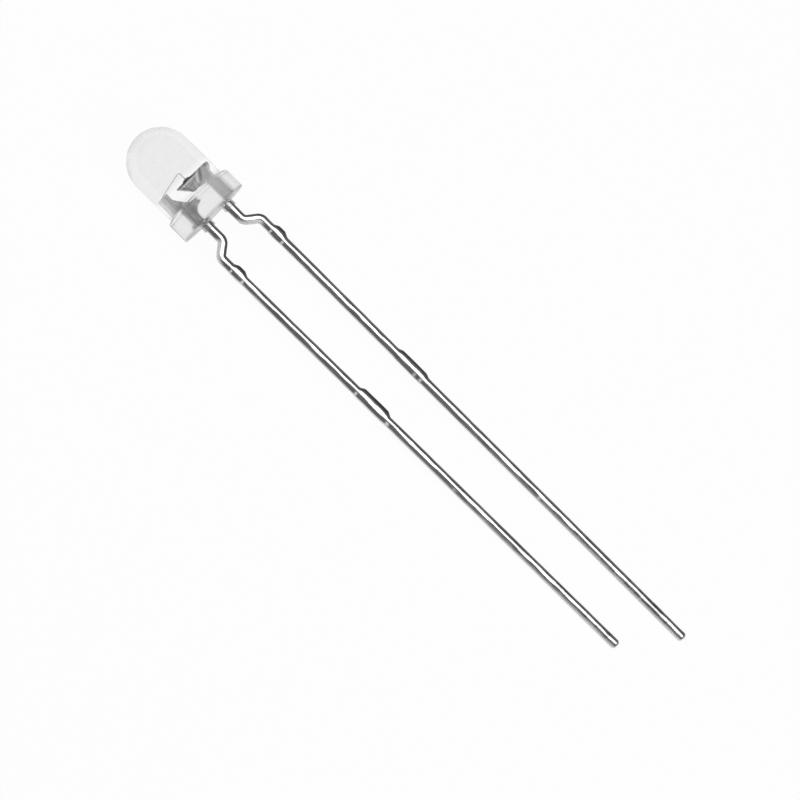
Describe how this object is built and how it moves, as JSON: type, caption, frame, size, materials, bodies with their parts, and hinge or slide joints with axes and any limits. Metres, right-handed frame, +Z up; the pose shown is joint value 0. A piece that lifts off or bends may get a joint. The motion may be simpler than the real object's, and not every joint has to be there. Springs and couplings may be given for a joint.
{
  "type": "through hole led",
  "caption": "Water-clear round light-emitting diode with a domed resin casting, a flange with a flat, and long kinked through-hole leads.",
  "frame": {"origin": "on the ground, under the middle of the part's length, on the casting's axis", "axes": "+X along the leads towards their tips, +Y from the short lead to the long lead, +Z up from the ground that the flange and the lead tips rest on"},
  "size_m": [0.0332, 0.0036, 0.0037],
  "materials": {
    "clear_resin": "gloss",
    "tinned_lead": "satin",
    "silver_adhesive": "matte",
    "semiconductor": "satin",
    "silver_wire": "satin"
  },
  "bodies": {
    "root": {"lens": "clear_resin", "cup_lead": "tinned_lead", "post_lead": "tinned_lead", "die_attach": "silver_adhesive", "led_chip": "semiconductor", "bond_wire": "silver_wire"}
  },
  "joints": []
}
